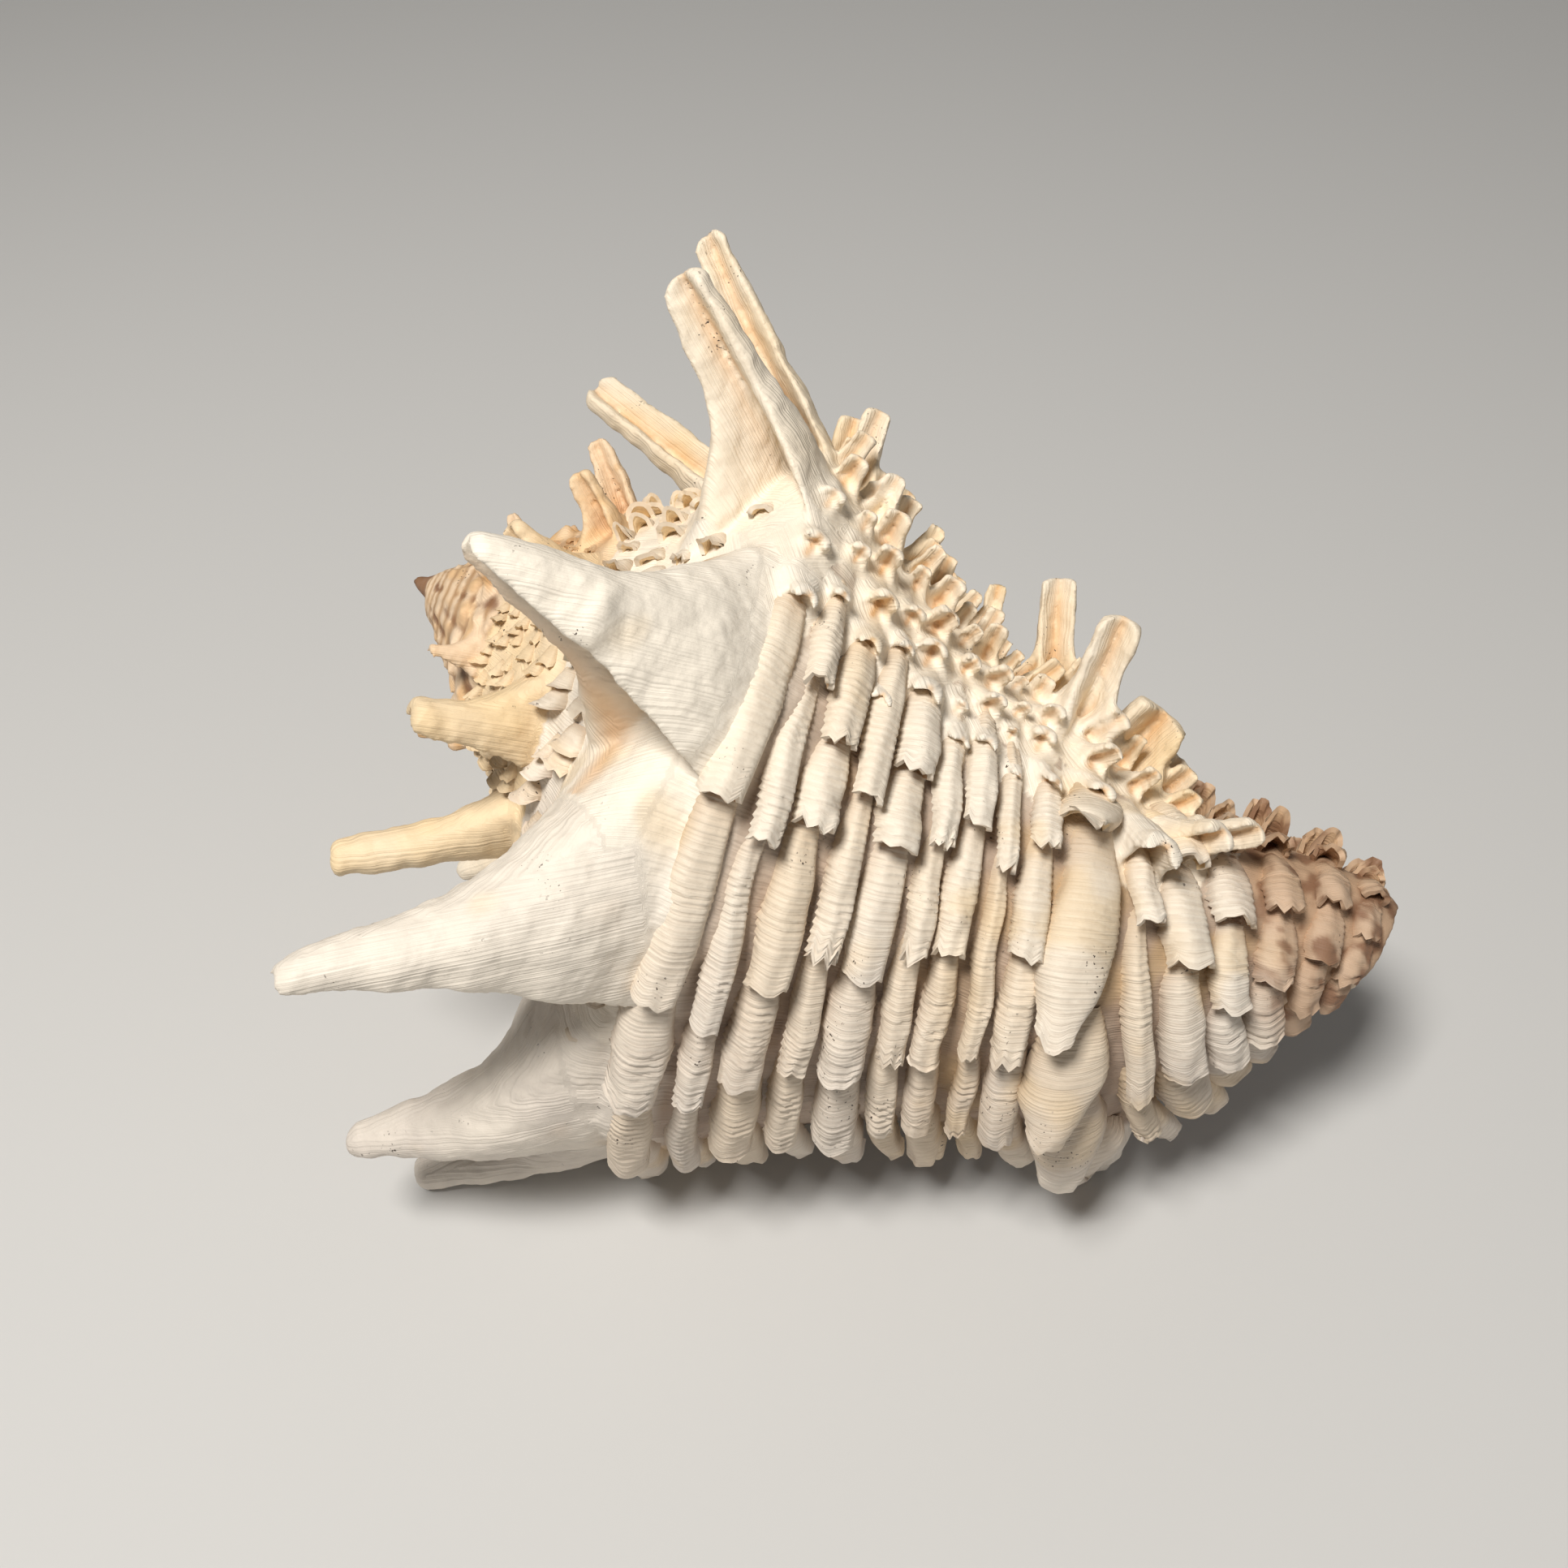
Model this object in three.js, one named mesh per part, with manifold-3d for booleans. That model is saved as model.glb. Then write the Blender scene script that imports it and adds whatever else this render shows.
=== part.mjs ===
// A Flinders' vase shell lying on its aperture side, as one closed solid.
// Millimetres, +Z up. The origin is on the resting plane, under the middle of the shell.
import * as THREE from 'three';
import { mergeVertices } from 'three/addons/utils/BufferGeometryUtils.js';
import Module from 'manifold-3d';

const wasm = await Module();
wasm.setup();

// ---- Driving dimensions (millimetres and degrees) ----

const APEX = new THREE.Vector3(-69.84, 17.8, 74.9);   // tip of the spire
const AXIS_TURN = 21.5;        // the axis runs to +X, turned this much towards -Y
const AXIS_DIP = 16.1;         // and dips this much towards the siphonal canal
const FRONT_RISE = 45;         // angle 90 round the axis faces -Y, raised by this much

const WHORL_GROWTH = 1.82;     // how much the shell grows in one turn
const LIP_ANGLE = 190;         // where the outer lip ends
const SPIRE_TURNS = 4;         // older turns above the body whorl
const SECTION_STEP = 15;       // angle between two sections of the body whorl
const SPIRE_STEP = 20;         // and of the spire
const CORE_RADIUS = 3;         // the pillar along the axis
const SWEEP_RADIUS = 1.5;      // the whorls are swept solids that stop this near the axis

// The outline of a whorl at angle 0, from its suture to the end of the canal:
// distance from the apex along the axis, radius, and the share of the growth it follows.
const OUTLINE = [
  [27, 23, 1], [37, 31.5, 1], [46, 40.5, 1], [49, 42, 1], [54, 40, 1], [60, 36.5, 1], [69, 32, 1],
  [77, 28.5, 1], [86, 26, 1], [96, 24.5, 1], [108, 20.5, 0.8], [120, 17.5, 0.55],
  [132, 14.5, 0.3], [144, 11, 0.1], [154, 7.5, 0],
];
const SPIRE_OUTLINE_POINTS = 6;                // older turns only need the outline down to here
const FLARE = { share: 0.1, from: 120, over: 70, fades: 90, fadeLength: 40 };
const RECURVE = { rise: 15, from: 112, over: 45 };   // the canal bends up, away from the aperture

// The hollow inside the last half turn, as the same kind of outline, and its inner wall.
const HOLLOW_TURN = 190;
const HOLLOW_PAST_LIP = 8;
const HOLLOW_OUTER = [
  [36, 26, 1], [46, 36, 1], [49, 38, 1], [60, 32.5, 1], [69, 28, 1], [86, 22, 1], [98, 20, 1],
  [110, 15, 0.8],
];
const HOLLOW_INNER = [[106, 7, 0.8], [92, 8, 1], [75, 10, 1], [60, 14, 1], [48, 18, 1], [38, 23, 1]];
const CANAL_SLOT = { angle: 222, from: 112, to: 160, width: 5, depth: 12 };

// Shoulder spines: angle, length, lean towards the apex, width at the foot, width at the tip,
// and how far the spine leans the way the shell grows.
const SHOULDER = { along: 47.5, radius: 41 };
const SHOULDER_SPINES = [
  [-150, 26, 50, 15, 4], [-108, 47.5, 12, 17, 4], [-66, 36, 48, 16, 4], [-30, 43, 77, 14, 4.5],
  [16, 34, 53, 14, 4.5], [39, 29.5, 53, 15, 4.5], [85, 31, 61, 22, 5.5], [132, 34, 58, 20, 5],
  [163, 28.5, 59, 17, 4.5, 16], [187, 25.2, 47, 14, 4],
];
const SPIRE_SPINES = [
  [-346, 22, 50, 12, 4], [-320, 17, 52, 11, 4], [-290, 23, 53, 13, 4.5], [-244, 26, 54, 14, 5],
  [-205, 37, 54, 14, 5], [-388, 18, 52, 12, 3], [-430, 20, 52, 12, 3], [-470, 20, 52, 12, 3],
  [-515, 20, 52, 12, 3], [-560, 20, 52, 12, 3], [-605, 20, 52, 12, 3],
];
// Spines of the strong row near the canal.
const STRONG_ROW = { along: 95, radius: 24.5 };
const STRONG_SPINES = [
  [-140, 14, 10, 9, 4], [-85, 16, 15, 9, 4], [-35, 16, 15, 9, 4], [6, 19, 24, 9, 4.5],
  [30, 17, 6, 10, 4.5], [70, 13, 0, 11, 5], [110, 12, 8, 13, 6], [134, 9, -10, 13, 6],
  [160, 5, -10, 12, 6], [187, 13.5, -20, 13, 6, 52],
];
// Tall scales that stand like fingers along the crest, each on its own ring.
const FINGERS = [
  [{ along: 52, radius: 40.6 }, [5, 10.5, 12, 6, 3.5]],
  [{ along: 54, radius: 39.8 }, [14, 12.5, 6, 6, 3.5]],
  [{ along: 82, radius: 27.2 }, [6, 11, 12, 5, 3]],
];
const SPINE_ROOT = 5;          // how far a spine reaches into the wall

// Fronds: arched scales in rows along the growth lines, standing clear at their far ends.
// Each cord is its distance from the apex, the frond width and the frond height.
const CORDS = [
  [50, 5, 5.5], [56, 3.4, 4.5], [61, 4, 5], [66, 3.8, 5], [70.5, 4.6, 5], [75, 3.4, 5],
  [79.5, 4, 5.5], [84, 3.6, 5], [88.5, 3.8, 5], [104, 3.2, 4.5], [112, 5, 5], [123, 4, 4],
  [136, 4, 3.5],
];
const LONG_FRONDS = { ends: [94, 119, 142, 165, 188], length: 24 };
const SHORT_SCALES = { ends: [-132, -94, -56, -18, 14, 42, 68], length: 15, tall: 0.75, wide: 1.4 };
const FROND_ROOT = 1;          // how far a frond reaches into the wall

// ---- The shell's own directions ----

const radians = THREE.MathUtils.degToRad;
const axis = new THREE.Vector3(
  Math.cos(radians(AXIS_DIP)) * Math.cos(radians(AXIS_TURN)),
  -Math.cos(radians(AXIS_DIP)) * Math.sin(radians(AXIS_TURN)),
  -Math.sin(radians(AXIS_DIP)),
);
const front = new THREE.Vector3(0, -Math.cos(radians(FRONT_RISE)), Math.sin(radians(FRONT_RISE)));
front.addScaledVector(axis, -front.dot(axis)).normalize();
const crest = new THREE.Vector3().crossVectors(front, axis);

function smooth(x) {
  return THREE.MathUtils.smoothstep(x, 0, 1);
}

function outward(angle) {
  return crest.clone().multiplyScalar(Math.cos(radians(angle)))
    .addScaledVector(front, Math.sin(radians(angle)));
}

function growth(angle, share = 1) {
  return Math.pow(WHORL_GROWTH, angle * share / 360);
}

function flare(angle, along) {
  const ahead = smooth((angle - FLARE.from) / FLARE.over);
  return 1 + FLARE.share * ahead * smooth((FLARE.fades - along) / FLARE.fadeLength);
}

// A point of the shell: angle round the axis, distance along it, radius, growth share and height.
function shellPoint(angle, along, radius, share = 1, height = 0) {
  const size = growth(angle, share);
  const reach = size * radius * flare(angle, along) + height;
  const bend = RECURVE.rise * smooth((size * along - RECURVE.from) / RECURVE.over);
  return APEX.clone().addScaledVector(axis, size * along).addScaledVector(outward(angle), reach)
    .addScaledVector(crest, bend);
}

function outlineAt(along) {
  const after = OUTLINE.findIndex((point) => point[0] >= along);
  const [a, b] = [OUTLINE[after - 1], OUTLINE[after]];
  const t = (along - a[0]) / (b[0] - a[0]);
  return [a[1] + t * (b[1] - a[1]), a[2] + t * (b[2] - a[2])];
}

function surfacePoint(angle, along, height) {
  const [radius, share] = outlineAt(along);
  return shellPoint(angle, along, radius, share, height);
}

// ---- Solids ----

function toSolid(geometry) {
  geometry.deleteAttribute('normal');
  geometry.deleteAttribute('uv');
  const merged = mergeVertices(geometry, 1e-4);
  return new wasm.Manifold(new wasm.Mesh({
    numProp: 3,
    vertProperties: new Float32Array(merged.attributes.position.array),
    triVerts: new Uint32Array(merged.index.array),
  }));
}

// A closed solid through a row of rings with the same number of points, capped at both ends.
function loft(rings) {
  const count = rings[0].length;
  const points = rings.flat();
  const faces = [];
  for (let i = 0; i + 1 < rings.length; i += 1) {
    for (let j = 0; j < count; j += 1) {
      const next = (j + 1) % count;
      const [a, b] = [i * count + j, i * count + next];
      faces.push([a, b, b + count], [a, b + count, a + count]);
    }
  }
  capFaces(rings[0]).forEach(([a, b, c]) => faces.push([a, c, b]));
  const last = (rings.length - 1) * count;
  capFaces(rings[rings.length - 1]).forEach((face) => faces.push(face.map((k) => k + last)));
  return closedSolid(points, faces);
}

// Triangles over a flat ring, worked out in the ring's own plane.
function capFaces(ring) {
  const normal = new THREE.Vector3();
  ring.forEach((p, i) => normal.add(p.clone().cross(ring[(i + 1) % ring.length])));
  normal.normalize();
  const side = ring[1].clone().sub(ring[0]);
  side.addScaledVector(normal, -side.dot(normal)).normalize();
  const up = new THREE.Vector3().crossVectors(normal, side);
  const flat = ring.map((p) => new THREE.Vector2(p.dot(side), p.dot(up)));
  return THREE.ShapeUtils.triangulateShape(flat, []);
}

function closedSolid(points, faces) {
  const build = (list) => {
    const geometry = new THREE.BufferGeometry();
    const position = points.flatMap((p) => p.toArray());
    geometry.setAttribute('position', new THREE.Float32BufferAttribute(position, 3));
    geometry.setIndex(list.flat());
    return toSolid(geometry);
  };
  const solid = build(faces);
  return solid.volume() > 0 ? solid : build(faces.map(([a, b, c]) => [a, c, b]));
}

// One stretch of a whorl, between two angles, from its outer outline in to near the axis.
function whorl(outline, fromAngle, toAngle, step) {
  const steps = Math.round((toAngle - fromAngle) / step);
  const rings = [];
  for (let i = 0; i <= steps; i += 1) {
    const angle = fromAngle + (toAngle - fromAngle) * i / steps;
    const outer = outline.map(([along, radius, share]) => shellPoint(angle, along, radius, share));
    const inner = [outline[outline.length - 1], outline[0]].map(([along, , share]) => {
      const size = growth(angle, share);
      return shellPoint(angle, along, SWEEP_RADIUS / (size * flare(angle, along)), share);
    });
    rings.push([...outer, ...inner]);
  }
  return loft(rings);
}

function bodyWhorl() {
  const half = LIP_ANGLE - 180;
  return [[half - 181, half], [half - 1, LIP_ANGLE]].map(([from, to]) => (
    whorl(OUTLINE, from, to, SECTION_STEP)));
}

function spire() {
  const outline = OUTLINE.slice(0, SPIRE_OUTLINE_POINTS);
  const stretches = [];
  for (let turn = 1; turn <= SPIRE_TURNS * 2; turn += 1) {
    const end = LIP_ANGLE - 180 - turn * 180;
    stretches.push(whorl(outline, end - 1, end + 180, SPIRE_STEP));
  }
  return stretches;
}

// The pillar along the axis, with the rounded first whorl on its tip.
function pillar() {
  const stations = [
    [0, 1], [2, 2], [10, CORE_RADIUS], [60, CORE_RADIUS], [112, CORE_RADIUS], [120, CORE_RADIUS],
    [128, CORE_RADIUS], [136, CORE_RADIUS], [145, CORE_RADIUS], [156, CORE_RADIUS],
  ];
  return loft(stations.map(([along, radius]) => {
    const ring = [];
    for (let angle = 0; angle < 360; angle += 45) {
      ring.push(shellPoint(angle, along, radius / flare(angle, along), 0));
    }
    return ring;
  }));
}

// A spine: a tapering blade, folded round a groove that faces the way the shell grows.
function spine(row, [angle, length, lean, footWidth, tipWidth, leanAhead = 0], sides) {
  const size = growth(angle);
  const ahead = outward(angle + 90);
  const direction = outward(angle).multiplyScalar(Math.cos(radians(lean)))
    .addScaledVector(axis, -Math.sin(radians(lean)))
    .addScaledVector(ahead, Math.tan(radians(leanAhead))).normalize();
  const across = new THREE.Vector3().crossVectors(direction, ahead);
  const foot = shellPoint(angle, row.along, row.radius);
  const stations = [[-SPINE_ROOT, 1], [0.05, 0.9], [0.4, 0.5], [0.93, 0.15], [1, 0]];
  return loft(stations.map(([place, shape]) => {
    const distance = (place < 0 ? place : place * length) * size;
    const half = (tipWidth + (footWidth - tipWidth) * shape) * size / 2 * (place === 1 ? 0.6 : 1);
    const ring = [];
    for (let turn = 0; turn < 360; turn += 360 / sides) {
      const groove = Math.abs(turn - 90) < 44 ? 0.25 : 1;
      ring.push(foot.clone().addScaledVector(direction, distance)
        .addScaledVector(across, half * Math.cos(radians(turn)))
        .addScaledVector(ahead, half * 0.7 * groove * Math.sin(radians(turn))));
    }
    return ring;
  }));
}

// A frond: an arched scale that rises from its cord and stands clear at its end.
function frond(along, endAngle, turn, width, height, archPoints) {
  const arch = (angle, tall, reach) => {
    const ring = [];
    for (let i = 0; i < archPoints; i += 1) {
      const across = Math.PI * i / (archPoints - 1);
      const shift = -Math.cos(across) * width / 2 * reach;
      ring.push(surfacePoint(angle, along + shift, tall * Math.sin(across) - FROND_ROOT));
    }
    return ring;
  };
  const tip = height * growth(endAngle) + FROND_ROOT;
  return loft([arch(endAngle - turn, FROND_ROOT * 1.5, 0.8), arch(endAngle, tip, 1)]);
}

function fronds() {
  const all = [];
  CORDS.forEach(([along, width, height], cord) => {
    const shift = (cord % 3) * 3;
    LONG_FRONDS.ends.forEach((end) => {
      all.push(frond(along, end - shift, LONG_FRONDS.length, width, height, 4));
    });
    if (cord % 2 === 1) {
      return;
    }
    SHORT_SCALES.ends.forEach((end) => {
      const tall = height * SHORT_SCALES.tall;
      all.push(frond(along, end - shift, SHORT_SCALES.length, width * SHORT_SCALES.wide, tall, 3));
    });
  });
  return all;
}

// The space inside the last half turn, open at the lip.
function hollow() {
  const rings = [];
  const steps = Math.round((HOLLOW_TURN + HOLLOW_PAST_LIP) / SECTION_STEP);
  for (let i = 0; i <= steps; i += 1) {
    const angle = LIP_ANGLE - HOLLOW_TURN + (HOLLOW_TURN + HOLLOW_PAST_LIP) * i / steps;
    const ring = [...HOLLOW_OUTER, ...HOLLOW_INNER];
    rings.push(ring.map(([along, radius, share]) => shellPoint(angle, along, radius, share)));
  }
  return loft(rings);
}

// The open slot of the siphonal canal, along the side that faces down.
function canalSlot() {
  const { angle, from, to, width, depth } = CANAL_SLOT;
  const side = outward(angle + 90);
  const rings = [];
  for (let along = from; along <= to; along += (to - from) / 4) {
    const inner = shellPoint(angle, along, 1, 0);
    const outer = shellPoint(angle, along, 1, 0, depth + 8);
    rings.push([
      inner.clone().addScaledVector(side, -width / 2), outer.clone().addScaledVector(side, -width / 2),
      outer.clone().addScaledVector(side, width / 2), inner.clone().addScaledVector(side, width / 2),
    ]);
  }
  return loft(rings);
}

function shellSolid() {
  const pieces = [
    pillar(), ...spire(), ...bodyWhorl(), ...fronds(),
    ...SHOULDER_SPINES.map((one) => spine(SHOULDER, one, 8)),
    ...SPIRE_SPINES.map((one) => spine(SHOULDER, one, 6)),
    ...STRONG_SPINES.map((one) => spine(STRONG_ROW, one, 6)),
    ...FINGERS.map(([row, one]) => spine(row, one, 6)),
  ];
  const whole = pieces.reduce((sum, piece) => sum.add(piece));
  return outerBody(whole.subtract(hollow()).subtract(canalSlot()));
}

// The biggest closed surface: pockets closed in between crowded fronds are filled.
function outerBody(solid) {
  return solid.decompose().reduce((best, body) => (body.volume() > best.volume() ? body : best));
}

function toMesh(solid, name, material) {
  const mesh = solid.getMesh();
  const geometry = new THREE.BufferGeometry();
  geometry.setAttribute('position', new THREE.BufferAttribute(mesh.vertProperties, 3));
  geometry.setIndex(new THREE.BufferAttribute(mesh.triVerts, 1));
  geometry.computeVertexNormals();
  const made = new THREE.Mesh(geometry, material);
  made.name = name;
  return made;
}

const chalk = new THREE.MeshStandardMaterial({ color: 0xe9dfd0, roughness: 0.75, metalness: 0 });

const shell = new THREE.Group();
shell.name = 'vase_shell';
shell.add(toMesh(shellSolid(), 'vase_shell', chalk));

export default shell;
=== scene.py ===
"""A Flinders' vase shell lying on its aperture side: fine surface, colours, floor, light and camera."""
import math

import bmesh
import bpy
import numpy as np
from mathutils import Matrix, Vector


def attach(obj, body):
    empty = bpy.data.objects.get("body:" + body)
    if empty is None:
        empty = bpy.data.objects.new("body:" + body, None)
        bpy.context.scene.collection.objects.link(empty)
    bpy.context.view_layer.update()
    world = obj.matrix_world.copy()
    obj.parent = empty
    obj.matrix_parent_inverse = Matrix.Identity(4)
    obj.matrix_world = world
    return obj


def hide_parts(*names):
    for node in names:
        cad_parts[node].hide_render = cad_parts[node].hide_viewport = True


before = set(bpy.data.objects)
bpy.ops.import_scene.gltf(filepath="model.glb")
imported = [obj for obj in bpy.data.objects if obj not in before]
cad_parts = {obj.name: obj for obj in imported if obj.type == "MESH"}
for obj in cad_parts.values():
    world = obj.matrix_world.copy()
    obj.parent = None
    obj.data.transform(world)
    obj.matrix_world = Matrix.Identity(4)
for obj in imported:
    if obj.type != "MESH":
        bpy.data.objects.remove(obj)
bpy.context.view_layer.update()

# ---- The shell's own frame, in millimetres and degrees, as the CAD has it ----

MM = 0.001
APEX = np.array((-69.84, 17.8, 74.9))
AXIS_TURN, AXIS_DIP, FRONT_RISE = np.radians((21.5, 16.1, 45.0))
AXIS = np.array((
    math.cos(AXIS_DIP) * math.cos(AXIS_TURN),
    -math.cos(AXIS_DIP) * math.sin(AXIS_TURN),
    -math.sin(AXIS_DIP),
))
TOWARDS_FRONT = np.array((0.0, -math.cos(FRONT_RISE), math.sin(FRONT_RISE)))
FRONT = TOWARDS_FRONT - AXIS * (TOWARDS_FRONT @ AXIS)
FRONT /= np.linalg.norm(FRONT)
CREST = np.cross(FRONT, AXIS)

WHORL_GROWTH = 1.82          # how much larger each whorl is than the one before
LIP_ANGLE = 190.0            # where the shell stopped growing
OUTLINE = np.array((         # along the axis, radius, and share of the growth at the lip
    (27, 23, 1), (37, 31.5, 1), (46, 40.5, 1), (49, 42, 1), (54, 40, 1), (60, 36.5, 1), (69, 32, 1),
    (77, 28.5, 1), (86, 26, 1), (96, 24.5, 1), (108, 20.5, 0.8), (120, 17.5, 0.55),
    (132, 14.5, 0.3), (144, 11, 0.1), (154, 7.5, 0),
))
SUTURE, SHOULDER, CANAL_END = 27.0, 48.0, 154.0
SPIRE_OUTLINE_END = 60.0     # older whorls are hidden past here
SPIRE_HALF_TURNS = 8

# The last growth flares out towards the lip, and the canal curls up at its end.
FLARE_SHARE, FLARE_FROM, FLARE_OVER, FLARE_FADES, FLARE_FADE_LENGTH = 0.1, 120, 70, 90, 40
RECURVE_RISE, RECURVE_FROM, RECURVE_OVER = 15, 112, 45

# The hollow behind the lip: outer and inner walls, as along, radius and growth share.
HOLLOW_OUTER = np.array((
    (36, 26, 1), (46, 36.5, 1), (49, 38, 1), (60, 33, 1), (69, 28.5, 1), (86, 22.5, 1), (98, 20.5, 1),
    (110, 15, 0.8),
))
HOLLOW_INNER = np.array((
    (106, 7, 0.8), (92, 8, 1), (75, 10, 1), (60, 14, 1), (48, 18, 1), (38, 23, 1),
))
HOLLOW_FROM = 0.0
HOLLOW_TO = 198.0
COLUMELLA_FOLDS = (70, 77, 84, 91)

# The open slot along the underside of the canal.
SLOT_ANGLE, SLOT_FROM, SLOT_TO, SLOT_WIDTH, SLOT_REACH = 222, 112, 160, 5, 20

# ---- Spines ----

SHOULDER_RING = (47.5, 41.0)       # along and radius of the ring of shoulder spines
STRONG_RING = (95.0, 24.5)         # and of the strong spines near the canal
STREAKED, STREAK_AT = 85, -0.8     # the spine with a bright streak, and its place on the blade
FOOT_REACH = 0.55                  # how far up a spine its spread foot reaches
FOOT_CURVE = 1.6                   # how fast the foot narrows
SPINE_MARGIN = 1.7                 # half widths round a spine's middle that are painted as spine


class Spine:
    """A spine at a growth angle: lengths in millimetres before growth, leans in degrees."""

    def __init__(self, ring, angle, length, lean, web, blade, tip, bend, lean_ahead=0.0):
        self.ring, self.angle, self.length, self.lean = ring, angle, length, lean
        self.web, self.blade, self.tip, self.bend = web, blade, tip, bend
        self.lean_ahead = lean_ahead


# angle, length, lean to the apex, width of the foot, of the blade and of the tip, and bend
SHOULDER_SPINES = [Spine(SHOULDER_RING, *numbers) for numbers in (
    (-150, 26, 50, 20, 9, 4, 2), (-108, 47.5, 12, 20, 12, 4.5, 0), (-66, 36, 48, 20, 10, 4, 2),
    (-30, 43, 77, 16, 10, 7, 1), (16, 34, 53, 18, 9.5, 4.5, 2), (39, 29.5, 53, 24, 12, 5.5, 2),
    (85, 31, 61, 29, 20, 5, 3), (118, 37, 54, 28, 17, 4, 2, 21), (162, 28.5, 59, 25, 15, 3.5, 2, 18),
    (187, 25.2, 47, 18, 11, 4, 0),
)]
SPIRE_SPINES = [Spine(SHOULDER_RING, *numbers) for numbers in (
    (-346, 22, 50, 18, 11, 6, 1), (-320, 17, 52, 17, 10, 6, 1), (-290, 23, 53, 19, 12, 6.5, 1),
    (-244, 26, 54, 18, 13, 8.5, 1), (-205, 37, 54, 13, 10, 8, 1), (-388, 18, 52, 20, 13, 6, 1),
    (-430, 20, 52, 20, 13, 6, 1), (-470, 20, 52, 20, 13, 6, 1), (-515, 20, 52, 20, 13, 6, 1),
    (-560, 20, 52, 20, 13, 6, 1), (-605, 20, 52, 20, 13, 6, 1), (-650, 18, 52, 20, 13, 6, 1),
    (-695, 18, 52, 20, 13, 6, 1),
)]
STRONG_SPINES = [Spine(STRONG_RING, *numbers) for numbers in (
    (-140, 14, 10, 11, 8, 4, 0), (-85, 16, 15, 11, 8, 4, 0), (-35, 16, 15, 11, 8, 4, 0),
    (6, 19, 24, 10, 7, 5, 1), (30, 17, 6, 11, 7.5, 5.5, 1), (187, 13.5, -20, 13, 11, 7, 0, 52),
)]
# Tall narrow scales that stand like fingers along the crest, each with its own ring.
FINGERS = [Spine((along, radius), *numbers) for along, radius, *numbers in (
    (52.0, 40.6, 5, 10.5, 12, 8, 5.4, 4.4, 0), (54.0, 39.8, 14, 12.5, 6, 8, 5.4, 4.4, 0),
    (104.0, 22.5, 20, 10, -15, 13, 11, 8.5, 0, 10),
    (61.0, 36.0, 3, 9, -8, 6, 4, 3, 0), (66.0, 33.4, 11, 8, -14, 6, 4, 3, 0),
    (68.0, 32.5, -6, 7, 0, 6, 4, 3, 0), (73.5, 30.0, 2, 7, -10, 6, 4, 3, 0),
    (82.0, 27.2, 6, 11, 12, 6, 4, 3, 0), (58.0, 37.8, 26, 8, -4, 7, 4.5, 3.2, 0),
    (103.5, 22.5, 60, 8, -12, 9, 6.5, 5.5, 0, 34), (109.5, 20.0, 50, 9, -24, 7, 5.4, 4.8, 0, 20),
    (115.0, 18.5, 42, 9, -28, 6, 4.8, 4.2, 0, 20),
)]

# ---- Cords, fronds and scales ----

# Cords with the long fronds of the last growth: along, width, height, and where each frond ends.
CORDS = (
    (51.5, 5.4, 5.2, (99, 130, 150, 172, 190)),
    (56.4, 3.4, 4.6, (78, 103, 134, 150, 174, 191)),
    (61.0, 4.9, 5.2, (84, 98, 125, 145, 166, 190)),
    (65.8, 3.5, 4.8, (90, 118, 142, 165, 191)),
    (70.5, 4.9, 5.2, (82, 96, 121, 143, 166, 190)),
    (75.2, 3.1, 4.8, (92, 114, 137, 160, 189)),
    (79.4, 3.6, 5.2, (85, 111, 136, 158, 181, 192)),
    (83.8, 2.5, 4.0, (90, 132, 160, 189)),
    (88.4, 4.0, 4.8, (81, 106, 130, 156, 190)),
    (95.5, 7.6, 6.5, (72, 119, 146, 174, 190)),
    (103.5, 3.4, 5.2, (60, 88, 142, 168, 190)),
    (111.5, 6.0, 5.5, (66, 99, 141, 172, 190)),
    (121.0, 5.4, 4.6, (50, 84, 118, 150, 180)),
    (131.0, 5.4, 4.4, (40, 78, 112, 148, 176)),
    (141.0, 5.0, 3.6, (30, 70, 104, 140, 172)),
    (149.0, 4.4, 2.8, (18, 52, 88, 124, 160)),
)
STRONG_CORD = 95.5          # its fronds are broad smooth leaves
FROND_OVERLAP = 5.0         # degrees that each frond starts under the end of the one before
FROND_FIRST = 62.0          # growth angle where the first ones start
FROND_WALL = 0.75
RIB_SPACING, RIB_HEIGHT = 0.95, 0.30
CHALK_FADE = 118.0          # cords past here are on the brown canal

# Hoods: short standing tubes on the part that grew just before, and flatter ones behind them.
TUBE_ANGLES = (-17, -5, 7, 18, 29, 40, 51, 62)
TUBES_END = 117.0
HOOD_ENDS = (-46, -32, -18, -5, 8, 21, 33, 45, 57, 69)
HOOD_LENGTH = 11.0
HOOD_WIDTH = 4.6
OLD_SCALE_ENDS = tuple(range(-164, -52, 13))
RAMP_ROWS = ((29.5, 2.3, 1.7), (33.0, 2.6, 1.5), (36.8, 2.8, 1.4), (40.8, 3.0, 1.5), (44.6, 3.2, 1.8))
RAMP_STEP = 7.5
SPIRE_FRILL_FROM = -330.0

# ---- Relief of the wall itself ----

CORD_RELIEF = 0.8
FOLD_RELIEF, FOLD_SPREAD = 2.2, 9.0     # the fold that runs to each shoulder spine
SPIRE_KNOB_RINGS = (33.0, 41.0, 49.0, 57.0)
SPIRE_KNOB_SPACING = 8.0
SPIRE_KNOB_HEIGHT, SPIRE_KNOB_WIDTH, SPIRE_KNOBS_PER_TURN = 6.0, 2.6, 15

# ---- Colours (sRGB, 0 to 1) ----

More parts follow.
